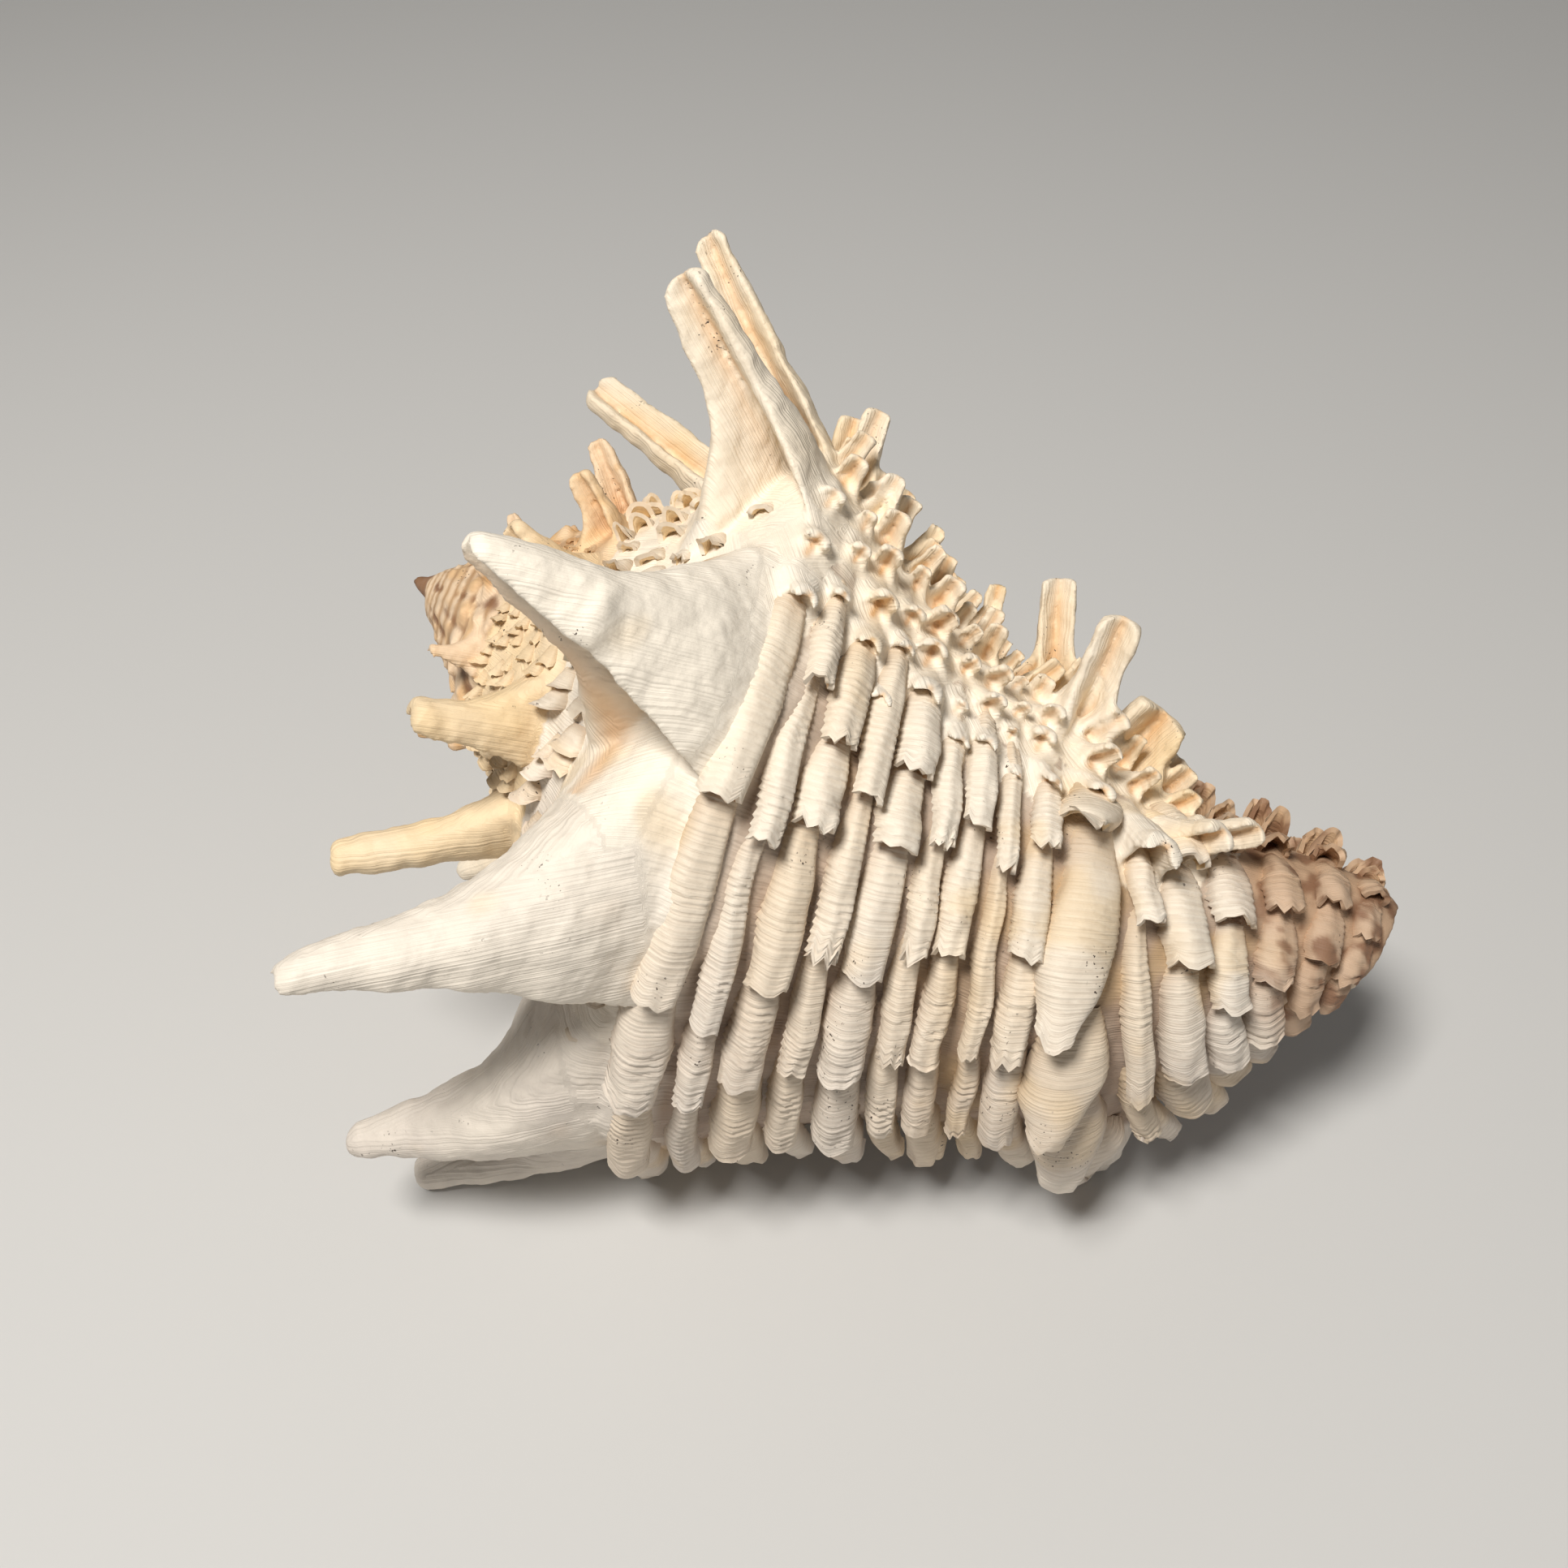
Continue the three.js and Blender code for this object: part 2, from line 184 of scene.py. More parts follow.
CHALK = (0.94, 0.90, 0.835)
LILAC_SHADE = (0.80, 0.755, 0.72)
CREAM = (0.91, 0.79, 0.59)
PEACH = (0.85, 0.66, 0.44)
GAP_SHADE = (0.54, 0.40, 0.28)
BROWN = (0.47, 0.30, 0.19)
RUST = (0.87, 0.66, 0.43)
TAN = (0.76, 0.62, 0.49)
WARM = (0.86, 0.76, 0.61)
PORCELAIN = (0.90, 0.80, 0.68)

# ---- Specks, grain and growth lines of the material ----

SPECK_COLOUR = (0.06, 0.04, 0.03, 1)     # linear
SPECK_SCALE, SPECK_PATCH_SCALE, GRAIN_SCALE = 1900, 120, 900
LINE_SCALE, LINE_HEIGHT = 2.2, 1.6
BUMP_STRENGTH, BUMP_DISTANCE = 0.35, 0.0004
LINES_PER_DEGREE = 0.7

# ---- Stage: metres, watts and linear colours ----

FLOOR_SIDE, FLOOR_COLOUR, FLOOR_ROUGHNESS = 3.0, (0.62, 0.61, 0.59), 0.9
LIGHT_TARGET = (0, 0, 0.05)
LIGHTS = (                   # name, place, size, power and colour
    ("key", (-0.20, -0.30, 0.80), 0.20, 7.5, (1, 0.98, 0.95)),
    ("fill", (0.8, -0.7, 0.5), 0.9, 0.9, (1, 1, 1)),
    ("back", (0.2, 0.9, 0.7), 0.8, 0.8, (1, 1, 1)),
)
WORLD_COLOUR, WORLD_STRENGTH = (0.95, 0.94, 0.92, 1), 0.09

# The camera looks down by FRONT_RISE, from CAMERA_DISTANCE mm in front of the middle of the view.
CAMERA_DISTANCE = 267.0
APEX_IN_VIEW = (-56.75, 31.4)      # mm right and up from the middle of the view
LENS, SENSOR = 39.84, 36.0

VOXEL = 0.55
FROND_STEP = 0.24
BODY_STEP = 3.0

rng = np.random.default_rng(7)


# ---- Small maths ----

def smooth(x):
    """A soft step from 0 at 0 to 1 at 1."""
    x = np.clip(x, 0.0, 1.0)
    return x * x * (3 - 2 * x)


def bump(x, centre, width):
    """A soft hump of height 1 at the centre."""
    return np.exp(-((x - centre) / width) ** 2)


def unit(v):
    return v / np.linalg.norm(v, axis=-1, keepdims=True)


def lattice(cells, seed):
    """Repeatable values from -1 to 1 for whole-number cells."""
    mixed = cells[..., 0] * 374761393 + cells[..., 1] * 668265263 + cells[..., 2] * 1274126177
    mixed = (mixed + seed * 97531) & 0xFFFFFFFF
    mixed = ((mixed ^ (mixed >> 13)) * 1103515245) & 0xFFFFFFFF
    mixed = mixed ^ (mixed >> 16)
    return (mixed & 0xFFFF) / 32767.5 - 1


def noise(points, size, seed=0):
    """Smooth value noise from -1 to 1 with features about size across."""
    scaled = np.asarray(points) / size
    low = np.floor(scaled).astype(np.int64)
    t = scaled - low
    t = t * t * (3 - 2 * t)
    total = 0.0
    for corner in range(8):
        offset = np.array((corner & 1, corner >> 1 & 1, corner >> 2 & 1))
        weight = np.prod(np.where(offset, t, 1 - t), axis=-1)
        total = total + weight * lattice(low + offset, seed)
    return total


def together(*parts):
    """Stacks numbers and arrays as the coordinates of one array of points."""
    return np.stack(np.broadcast_arrays(*parts), -1)


def growth(angle, share=1.0):
    """How large the shell has grown at an angle, where 0 is size 1."""
    return WHORL_GROWTH ** (np.asarray(angle, float) * share / 360)


def outward(angle):
    """Direction straight away from the axis at a growth angle."""
    turn = np.radians(np.asarray(angle, float))[..., None]
    return np.cos(turn) * CREST + np.sin(turn) * FRONT


def flare(angle, along):
    """The last part widens towards the lip, less so near the canal."""
    ahead = smooth((np.asarray(angle, float) - FLARE_FROM) / FLARE_OVER)
    return 1 + FLARE_SHARE * ahead * smooth((FLARE_FADES - np.asarray(along)) / FLARE_FADE_LENGTH)


def bend_at(distance):
    """How far the canal curls up at a distance along the axis."""
    return RECURVE_RISE * smooth((distance - RECURVE_FROM) / RECURVE_OVER)


def shell_point(angle, along, radius, share=1.0, height=0.0):
    """A point from its angle round the axis, distance along it, radius, growth share and height."""
    angle, along, radius, share, height = np.broadcast_arrays(angle, along, radius, share, height)
    size = growth(angle, share)
    reach = size * radius * flare(angle, along) + height
    distance = size * along
    return (APEX + distance[..., None] * AXIS + reach[..., None] * outward(angle)
            + bend_at(distance)[..., None] * CREST)


# The outline, rounded at its corners, on a fine scale.
FINE_ALONG = np.arange(SUTURE, CANAL_END + 0.25, 0.25)


def rounded(column):
    """One column of the outline on the fine scale, with its corners softened."""
    values = np.interp(FINE_ALONG, OUTLINE[:, 0], OUTLINE[:, column])
    kernel = np.exp(-(np.arange(-8, 9) / 4.0) ** 2)
    padded = np.pad(values, 8, mode="reflect", reflect_type="odd")
    return np.convolve(padded, kernel / kernel.sum(), mode="valid")


FINE_RADIUS = rounded(1)
FINE_SHARE = rounded(2)


def surface(angle, along, height=0.0):
    """A point on the smooth outline, or at a height above it."""
    radius = np.interp(along, FINE_ALONG, FINE_RADIUS)
    share = np.interp(along, FINE_ALONG, FINE_SHARE)
    return shell_point(angle, along, radius, share, height)


def local_frame(angle, along):
    """Point, growth direction, direction to the canal and outward normal on the smooth surface."""
    point = surface(angle, along)
    ahead = unit(surface(np.asarray(angle) + 0.5, along) - point)
    down = unit(surface(angle, np.asarray(along) + 0.4) - point)
    normal = unit(np.cross(ahead, down))
    return point, ahead, unit(np.cross(normal, ahead)), normal


# ---- Collected sheets: points, faces and what each point is ----

class Sheets:
    """Grids of points that are joined into one mesh, with paint values for every point."""

    FIELDS = ("angle", "along", "lift", "inside", "tip", "ridge", "shade")

    def __init__(self):
        self.points, self.faces, self.count = [], [], 0
        self.values = {name: [] for name in self.FIELDS}

    def add(self, grid, outward_hint, **values):
        """Adds a grid of points, with its faces turned the way the hint points."""
        rows, columns = grid.shape[:2]
        index = np.arange(rows * columns).reshape(rows, columns)
        quads = np.stack([index[:-1, :-1], index[1:, :-1], index[1:, 1:], index[:-1, 1:]], -1)
        quads = quads.reshape(-1, 4)
        flat = grid.reshape(-1, 3)
        across = flat[quads[:, 2]] - flat[quads[:, 0]]
        along = flat[quads[:, 3]] - flat[quads[:, 1]]
        facing = np.cross(across, along) * outward_hint.reshape(-1, 3)[quads[:, 0]]
        if facing.sum() < 0:
            quads = quads[:, ::-1]
        self.points.append(flat)
        self.faces.append(quads + self.count)
        self.count += len(flat)
        for name in self.FIELDS:
            value = np.broadcast_to(values.get(name, 0.0), (rows, columns))
            self.values[name].append(value.reshape(-1).astype(float))


def frond(sheets, start, end, along, width, height, *, gape=0.0, rib=1.0, fine=1.0, taper=0.15,
          drift=0.0, tube=0.0, leaf=0.0, seed=0):
    """A half tube that lifts off its cord, with free ragged sides and an open end."""
    scale = float(growth((start + end) / 2, np.interp(along, FINE_ALONG, FINE_SHARE)))
    reach = float(np.linalg.norm(surface(end, along) - surface(start, along)))
    rows = int(np.clip(reach / FROND_STEP * fine, 7, 120))
    columns = 15 if fine >= 1 else 9
    s = np.linspace(0, 1, rows)[:, None]
    t = np.linspace(0, 1, columns)[None, :]
    arch = np.sin(np.pi * t)
    angle = start + (end - start) * s[:, 0]
    centre, ahead, down, normal = local_frame(angle, along + 0 * angle)

    # Half width and height from its root at s = 0 to its open end at s = 1.
    sway = (0.4 * noise(together(angle / 11, along, seed), 1.0, 3) - drift * s[:, 0] ** 2) * scale
    wobble = noise(together(s * 3.3, t * 2, seed * 1.7), 0.5, 5)
    pinch = 1 - taper * smooth((s - 0.62) / 0.38) + gape * 0.3 * s ** 4
    half = width * scale / 2 * (0.68 + 0.36 * np.sin(np.pi * np.minimum(s, 0.7) / 1.4)) * pinch
    half = half * (1 + leaf * (0.15 * np.sin(np.pi * s ** 1.3) - 0.35 * smooth((s - 0.7) / 0.3)))
    half = half * (1 + 0.08 * wobble)
    top = height * scale * (0.12 + 0.88 * s ** 1.1) * (1 + 0.08 * wobble)
    edge = np.maximum(top - 1.2 * half, 0) * smooth((s - 0.15) / 0.6) * (1 - tube) - 0.8 * (1 - s)

    # Sawtooth ribs across it, which also notch its sides, and flutes along it.
    period = RIB_SPACING * scale ** 0.5
    phase = s * reach / period + 0.5 * wobble + 0.25 * arch
    ribs = phase - np.floor(phase)
    strength = rib * (0.7 + 0.9 * noise(together(s * 9, 0.0, seed), 1.0, 6))
    edge_teeth = smooth(1 - 2.6 * arch)
    flutes = 0.12 * rib * np.cos(5 * np.pi * t)
    x = -np.cos(np.pi * t) * half * (1 + strength * edge_teeth * 0.22 * (ribs - 0.3))
    y = edge + arch ** 0.62 * (top - edge) + flutes
    y = y + RIB_HEIGHT * strength * (ribs - 0.5) * smooth(arch * 2)

    # A ragged end.
    frill = (1 - 0.5 * tube) * (0.7 * noise(together(t * 7, seed, s * 0), 1.0, 9)
                                + 0.3 * np.cos(7 * np.pi * t))
    y = y + tube * 0.9 * scale * smooth((s - 0.8) / 0.2) * arch
    push = (frill - 0.3 * (1 - arch) - 1.8 * leaf * (1 - arch)) * smooth((s - 0.8) / 0.2) * scale

    def place(x_, y_):
        return (centre[:, None] + (x_ + sway[:, None])[..., None] * down[:, None]
                + y_[..., None] * normal[:, None] + push[..., None] * ahead[:, None])

    wall = FROND_WALL * min(1.0, 0.4 + 0.3 * width * scale / 2)
    shrink = 1 - wall / np.maximum(half, wall * 1.3)
    outer, inner = place(x, y), place(x * shrink, y - wall * (0.35 + 0.65 * arch))
    hint = np.broadcast_to(normal[:, None], outer.shape)
    common = dict(angle=angle[:, None] + t * 0, along=along + x / max(scale, 0.05), tip=s + t * 0,
                  shade=rng.random())
    sheets.add(outer, hint, lift=np.maximum(y, 0) / max(height * scale, 0.1), ridge=ribs, **common)
    sheets.add(inner, -hint, lift=0.2 + t * 0 + s * 0, inside=1.0, **common)
    for rim in (np.stack([outer[-1], inner[-1]]), np.stack([outer[:, 0], inner[:, 0]]),
                np.stack([outer[:, -1], inner[:, -1]])):
        sheets.add(rim, rim - centre.mean(0), angle=end, along=along, lift=0.9, tip=1.0)


def long_fronds(sheets):
    """The overlapping fronds of the last growth, down to the lip."""
    for number, (along, width, height, ends) in enumerate(CORDS):
        start = FROND_FIRST - (number * 7) % 11
        if along > CHALK_FADE - 8:
            start -= 45
        for place, end in enumerate(ends):
            if end <= start + 4:
                continue
            tall = height * (0.92 + 0.16 * rng.random())
            strong = along == STRONG_CORD
            frond(sheets, start, end, along, width * (0.92 + 0.16 * rng.random()), tall,
                  gape=0.5 * rng.random(), rib=0.5 if strong else 1.0, leaf=1.0 if strong else 0.0,
                  drift=4.0 if strong else 0.6, seed=number * 11 + place)
            start = end - FROND_OVERLAP


def tube_spines():
    """The short tubes, open the way the shell grows, that stand in rows along the cords."""
    tubes = []
    for number, (along, width, height, ends) in enumerate(CORDS):
        if along > TUBES_END:
            break
        ring_radius = float(np.interp(along, OUTLINE[:, 0], OUTLINE[:, 1]))
        for angle in TUBE_ANGLES:
            turn = angle + (number * 5) % 11 + 3 * (rng.random() - 0.5)
            if turn > ends[0] - 16:
                break
            crest = bump(turn, 12, 26)
            length = height * (0.85 + 0.4 * rng.random() + 0.5 * crest)
            blade = min(width, HOOD_WIDTH) * (0.85 + 0.2 * rng.random())
            tubes.append(Spine((along + 1.2 * (rng.random() - 0.5), ring_radius - 0.5), turn, length,
                               -14 + 24 * (rng.random() - 0.5), blade * 1.5, blade, blade * 0.8, 0,
                               34 - 18 * crest + 10 * rng.random()))
    return tubes


def hoods(sheets):
    """Short hooded scales behind the tubes and the fronds."""
    for number, (along, width, height, ends) in enumerate(CORDS):
        shift = (number * 5) % 9
        last = ends[0] - 10
        if along < TUBES_END:
            last = TUBE_ANGLES[0] - 6
        for place, end in enumerate(HOOD_ENDS):
            if end + shift > last:
                break
            tall = height * (1.0 + 0.35 * rng.random())
            length = HOOD_LENGTH * (0.85 + 0.4 * rng.random())
            turn = end + shift + 4 * (rng.random() - 0.5)
            wide = min(width, HOOD_WIDTH) * (0.8 + 0.25 * rng.random())
            frond(sheets, turn - length, turn, along + 1.4 * (rng.random() - 0.5),
                  wide, tall, gape=0.6 * rng.random(), tube=0.7 + 0.3 * rng.random(), rib=0.7,
                  seed=number * 17 + place)


def old_scales(sheets):
    """Worn scales of the oldest part of the last whorl."""
    for number, (along, width, height, _) in enumerate(CORDS):
        shift = (number * 5) % 9
        for place, end in enumerate(OLD_SCALE_ENDS):
            tall = height * (0.8 + 0.35 * rng.random())
            frond(sheets, end + shift - 12, end + shift, along, min(width, HOOD_WIDTH), tall,
                  gape=0.7, tube=0.6, rib=0.7, seed=number * 23 + place)


def ramp_frills(sheets):
    """Small crumpled scales on the ramp between the suture and the shoulder, up the whole spire."""
    angle = SPIRE_FRILL_FROM
    while angle < LIP_ANGLE - 2:
        old = angle < LIP_ANGLE - 360
        for row, (along, width, height) in enumerate(RAMP_ROWS):
            if not old and row > 1 and rng.random() < 0.3 * (row - 1):
                continue
            end = angle + RAMP_STEP * (row * 0.37 % 1) + 4 * rng.random()
            tall = height * (0.5 + 1.1 * rng.random()) * (1.25 if row == 0 else 1.0)
            wide = width * (0.7 + 0.8 * rng.random())
            frond(sheets, end - 6.5, end, along + 2.4 * (rng.random() - 0.5), wide, tall,
                  gape=0.8, rib=0.4, tube=rng.random(), fine=0.6 if old else 0.8,
                  seed=row * 31 + int(angle))
        angle += RAMP_STEP


# ---- Closed solids of the body, made into one skin by a voxel remesh ----

def loft_mesh(rings):
    """Points and faces of a closed solid through rings with equal numbers of points."""
    count = rings.shape[1]
    index = np.arange(rings.shape[0] * count).reshape(rings.shape[:2])
    a, b = index[:-1], index[1:]
    quads = np.stack([a, np.roll(a, -1, 1), np.roll(b, -1, 1), b], -1).reshape(-1, 4)
    faces = [tuple(int(k) for k in quad) for quad in quads]
    faces.append(tuple(int(k) for k in index[0][::-1]))
    faces.append(tuple(int(k) for k in index[-1]))
    return rings.reshape(-1, 3), faces


def relief(angle, along):
    """Cords and spine folds, as height above the smooth outline."""
    total = np.zeros(np.broadcast_shapes(np.shape(angle), np.shape(along)))
    for cord, width, _, _ in CORDS:
        total = total + CORD_RELIEF * bump(along, cord, width * 0.32)
    for spine in SHOULDER_SPINES:
        fold = bump(angle, spine.angle, FOLD_SPREAD) * bump(along, SHOULDER + 1, FOLD_SPREAD)
        total = total + FOLD_RELIEF * fold
    old = smooth((-290 - angle) / 60)
    knobs = (0.5 + 0.5 * np.cos(np.radians(angle * SPIRE_KNOBS_PER_TURN))) ** 1.5
    for ring in SPIRE_KNOB_RINGS:
        total = total + old * SPIRE_KNOB_HEIGHT * bump(along, ring, SPIRE_KNOB_WIDTH) * knobs
    return total * growth(angle)


def body_loft(first, last, end_along):
    """The shell wall between two growth angles, filled in to the axis."""
    angles = np.linspace(first, last, int(round((last - first) / BODY_STEP)) + 1)
    along = np.arange(SUTURE, end_along + 0.5, 1.0)
    outer = surface(angles[:, None], along[None], relief(angles[:, None], along[None]))
    share = np.interp(along[[-1, 0]], FINE_ALONG, FINE_SHARE)
    size = growth(angles[:, None], share[None])
    inner = shell_point(angles[:, None], along[None, [-1, 0]],
                        1.5 / (size * flare(angles[:, None], along[None, [-1, 0]])), share[None])
    return loft_mesh(np.concatenate([outer, inner], 1))


def pillar_loft():
    """The pillar along the axis, from the pointed apex to the end of the canal."""
    along = np.concatenate([np.linspace(0, 2, 4), np.linspace(4, CANAL_END, 60)])
    radius = np.interp(along, (0, 1, 2.5, 10, CANAL_END), (0.4, 1.3, 2.0, 3.2, 3.0))
    angles = np.arange(0, 360, 30.0)
    return loft_mesh(shell_point(angles[None], along[:, None],
                                 radius[:, None] / flare(angles[None], along[:, None]), 0.0))


def spine_axis(spine):
    """Foot, direction, growth direction and side direction of a spine."""
    ahead = outward(spine.angle + 90)
    direction = (outward(spine.angle) * math.cos(math.radians(spine.lean))
                 - AXIS * math.sin(math.radians(spine.lean))
                 + ahead * math.tan(math.radians(spine.lean_ahead)))
    direction = unit(direction)
    across = unit(np.cross(direction, ahead))
    if across @ AXIS < 0:
        across = -across
    foot = shell_point(spine.angle, spine.ring[0], spine.ring[1])
    return foot, direction, ahead, across


def spine_half_width(spine, place):
    """Half the width of a spine before growth, at a place from 0 at its foot to 1 at its tip."""
    foot = (spine.web - spine.blade) * np.clip(1 - place / FOOT_REACH, 0, 1) ** FOOT_CURVE
    blade = spine.tip + (spine.blade - spine.tip) * np.clip(1 - place, 0, 1)
    return (foot + blade) / 2


def spine_loft(spine):
    """A tapering blade folded round a groove, spreading at its foot into the wall of the shell."""
    foot, direction, ahead, across = spine_axis(spine)
    size = float(growth(spine.angle))
    place = np.concatenate([[-0.2, -0.1], np.linspace(0, 0.96, 44), [0.985, 1.0]])
    out = np.clip(place, 0, 1)
    half = spine_half_width(spine, out) * size
    knobs = noise(together(place * spine.length / 3, spine.angle, 0.0), 1.0, 4)
    half = half * (1 + 0.07 * knobs)
    half *= np.where(place > 0.97, 0.8, 1.0) * np.where(place > 0.99, 0.6, 1.0)
    foot_spread = np.clip(1 - out / FOOT_REACH, 0, 1) ** FOOT_CURVE
    thick = 0.62 * half + size * (0.12 * spine.blade * (1 - out) + 0.28 * spine.web * foot_spread)

    # The blade's section: two lips round a groove that faces ahead, and a round back.
    turn = np.radians(np.arange(0, 360, 10.0))
    sine = np.abs(np.sin(turn))
    lips = 1.15 * np.abs(np.sin(2 * turn)) ** 0.8 - 0.7 * sine ** 2
    depth = np.where(np.sin(turn) > 0, lips, -1.1 * sine)
    sunk = np.clip(-place, 0, 1) * 18 * size + 1.0 * (1 - smooth(place / 0.1))
    centre = (foot + direction * (out * spine.length * size)[:, None]
              + outward(spine.angle) * (spine.bend * size * out ** 2 - sunk)[:, None])
    wave_place = together(place[:, None] * spine.length / 2.2, 2 * np.cos(turn)[None], spine.angle)
    waves = 1 + 0.08 * noise(wave_place, 1.0, 15)
    blade = (across * (half[:, None] * waves * np.cos(turn))[..., None]
             + ahead * (thick[:, None] * depth)[..., None])

    # The foot follows the curve of the wall, and the blade leaves it gradually.
    foot_angle = spine.angle + np.degrees(thick[0] * depth / (spine.ring[1] * size))
    foot_curve = surface(foot_angle, spine.ring[0] + spine.web / 2 * np.cos(turn)) - foot
    forward = (foot_curve @ ahead)[:, None] * ahead
    wall = ((foot_curve - forward)[None] * (half / half[0])[:, None, None]
            + forward[None] * (thick / thick[0])[:, None, None])
    leave = smooth(place / 0.6)[:, None, None]
    return loft_mesh(centre[:, None] + wall * (1 - leave) + blade * leave)


# The tubes' random draws come before those of the fronds.
ALL_SPINES = SHOULDER_SPINES + SPIRE_SPINES + STRONG_SPINES + FINGERS + tube_spines()


def hollow_loft():
    """The hollow behind the lip, with the folds of the pillar left standing."""
    angles = np.arange(HOLLOW_FROM, HOLLOW_TO + 0.1, 3.0)
    outer_along = np.linspace(HOLLOW_OUTER[0, 0], HOLLOW_OUTER[-1, 0], 50)
    inner_along = np.linspace(HOLLOW_INNER[0, 0], HOLLOW_INNER[-1, 0], 60)
    outer = [np.interp(outer_along, HOLLOW_OUTER[:, 0], HOLLOW_OUTER[:, k]) for k in (1, 2)]
    inner_table = HOLLOW_INNER[::-1]
    inner = [np.interp(inner_along, inner_table[:, 0], inner_table[:, k]) for k in (1, 2)]
    for fold in COLUMELLA_FOLDS:
        inner[0] = inner[0] + 1.5 * bump(inner_along, fold, 1.3)
    along = np.concatenate([outer_along, inner_along])
    radius = np.concatenate([outer[0], inner[0]])
    share = np.concatenate([outer[1], inner[1]])
    return loft_mesh(shell_point(angles[:, None], along[None], radius[None], share[None]))


def slot_loft():
    """The open slot along the canal."""
    along = np.linspace(SLOT_FROM, SLOT_TO, 9)
    side = outward(SLOT_ANGLE + 90) * SLOT_WIDTH / 2
    inner = shell_point(SLOT_ANGLE, along, 1, 0)
    outer = shell_point(SLOT_ANGLE, along, 1, 0, SLOT_REACH)
    return loft_mesh(np.stack([inner - side, outer - side, outer + side, inner + side], 1))


def cut_away(skin, loft):
    """Cuts a closed solid out of the skin."""
    tool = make_object("tool", [loft])
    cut = skin.modifiers.new("cut", "BOOLEAN")
    cut.operation = "DIFFERENCE"
    cut.solver = "MANIFOLD"
    cut.object = tool
    apply_modifiers(skin)
    bpy.data.objects.remove(tool)


def make_object(name, parts):
    """One object from several closed solids, each with its faces turned outwards."""
    points, faces, count = [], [], 0
    for part_points, part_faces in parts:
        points.append(part_points)
        faces.extend(tuple(k + count for k in face) for face in part_faces)
        count += len(part_points)
    mesh = bpy.data.meshes.new(name)
    mesh.from_pydata((np.concatenate(points) * MM).tolist(), [], faces)
    made = bpy.data.objects.new(name, mesh)
    bpy.context.scene.collection.objects.link(made)
    fix_normals(made)
    return made


def fix_normals(made):
    work = bmesh.new()
    work.from_mesh(made.data)
    bmesh.ops.recalc_face_normals(work, faces=work.faces)
    work.to_mesh(made.data)
    work.free()


def apply_modifiers(made):
    """Gives an object the mesh that its modifiers make, and removes them."""
    bpy.context.view_layer.update()
    mesh = bpy.data.meshes.new_from_object(made.evaluated_get(bpy.context.evaluated_depsgraph_get()))
    made.modifiers.clear()
    made.data = mesh


def body_skin():
    """The whorls, canal and spines as one skin, with the hollow cut out behind the lip."""
    half_turn = LIP_ANGLE - 180
    parts = [
        body_loft(half_turn - 181, half_turn, CANAL_END),
        body_loft(half_turn - 1, LIP_ANGLE, CANAL_END),
        pillar_loft(),
    ]
    for turn in range(1, SPIRE_HALF_TURNS + 1):
        end = half_turn - turn * 180
        parts.append(body_loft(end - 1, end + 180, SPIRE_OUTLINE_END))
    parts.extend(spine_loft(spine) for spine in ALL_SPINES)
    skin = make_object("skin", parts)
    remesh = skin.modifiers.new("join", "REMESH")
    remesh.mode = "VOXEL"
    remesh.voxel_size = VOXEL * MM
    smoothing = skin.modifiers.new("soften", "SMOOTH")
    smoothing.factor = 0.5
    smoothing.iterations = 3
    apply_modifiers(skin)
    cut_away(skin, hollow_loft())
    cut_away(skin, slot_loft())
    mesh = skin.data
    mesh.calc_loop_triangles()
    points = np.empty(len(mesh.vertices) * 3)
    mesh.vertices.foreach_get("co", points)
    triangles = np.empty(len(mesh.loop_triangles) * 3, dtype=np.int32)
    mesh.loop_triangles.foreach_get("vertices", triangles)
    normals = np.empty(len(mesh.vertices) * 3)
    mesh.vertices.foreach_get("normal", normals)
    bpy.data.objects.remove(skin)
    return points.reshape(-1, 3) / MM, triangles.reshape(-1, 3), normals.reshape(-1, 3)


def spiral_place(points):
    """For points of the shell: growth angle, place on the outline, and height above it."""
    offset = points - APEX
    distance = offset @ AXIS
    side = offset - distance[:, None] * AXIS - bend_at(distance)[:, None] * CREST
    radius = np.linalg.norm(side, axis=1)
    turn = np.degrees(np.arctan2(side @ FRONT, side @ CREST))
    angle = np.where(turn > LIP_ANGLE, turn - 360, turn)
    angle = np.where(angle <= LIP_ANGLE - 360, angle + 360, angle)
    for _ in range(4):
        older = distance < (SUTURE + 0.6) * growth(angle)
        angle = np.where(older, angle - 360, angle)
    along = distance / growth(angle)
    for _ in range(6):
        share = np.interp(along, FINE_ALONG, FINE_SHARE)
        along = 0.5 * along + 0.5 * distance / growth(angle, share)
    share = np.interp(along, FINE_ALONG, FINE_SHARE)
    expected = growth(angle, share) * np.interp(along, FINE_ALONG, FINE_RADIUS) * flare(angle, along)
    return angle, along, radius - expected


